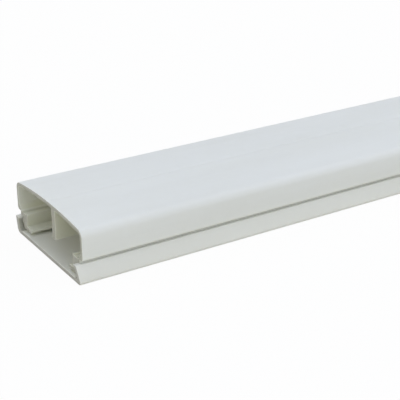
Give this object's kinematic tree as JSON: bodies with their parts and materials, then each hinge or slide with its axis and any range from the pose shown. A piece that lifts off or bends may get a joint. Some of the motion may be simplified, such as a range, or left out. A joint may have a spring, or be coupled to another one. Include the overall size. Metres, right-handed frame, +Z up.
{
  "type": "cord cover raceway",
  "caption": "Length of white two-piece plastic cord cover raceway: a flat base channel and a crowned push-fit cover with a hanging divider web, open at both ends.",
  "frame": {"origin": "middle of the length and of the width, on the plane the underside rests on", "axes": "+X along the length, with the end that shows the base standing out past the cover at -X; +Y across, away from the divider web; +Z up out of the crown"},
  "size_m": [1.0018, 0.05, 0.0208],
  "materials": {
    "base": "satin white extruded PVC",
    "cover": "satin white extruded PVC"
  },
  "bodies": {
    "root": {"base": "base", "cover": "cover"}
  },
  "joints": []
}
